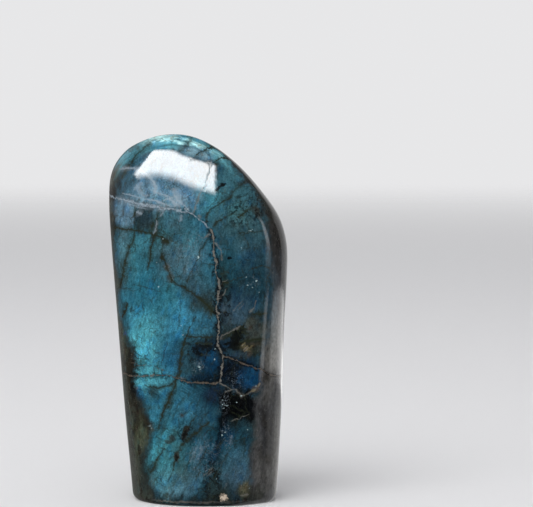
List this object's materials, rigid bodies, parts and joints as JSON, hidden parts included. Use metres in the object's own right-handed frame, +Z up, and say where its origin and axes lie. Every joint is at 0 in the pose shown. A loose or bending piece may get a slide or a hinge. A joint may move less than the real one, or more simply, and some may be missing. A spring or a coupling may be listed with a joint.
{
  "type": "polished labradorite",
  "caption": "Polished freestanding labradorite with a leaning column shape, a rounded crown, a slanting shoulder and a flat sawn foot, showing teal flash and brown healed fractures.",
  "frame": {"origin": "on the surface the stone stands on, at the middle of its bounding box", "axes": "+Z up, the broad show face towards -Y, the high end of the crown towards -X and the slanting shoulder towards +X"},
  "size_m": [0.0536, 0.0324, 0.11],
  "materials": {
    "labradorite": "polished"
  },
  "bodies": {
    "root": {"labradorite_stone": "labradorite"}
  },
  "joints": []
}
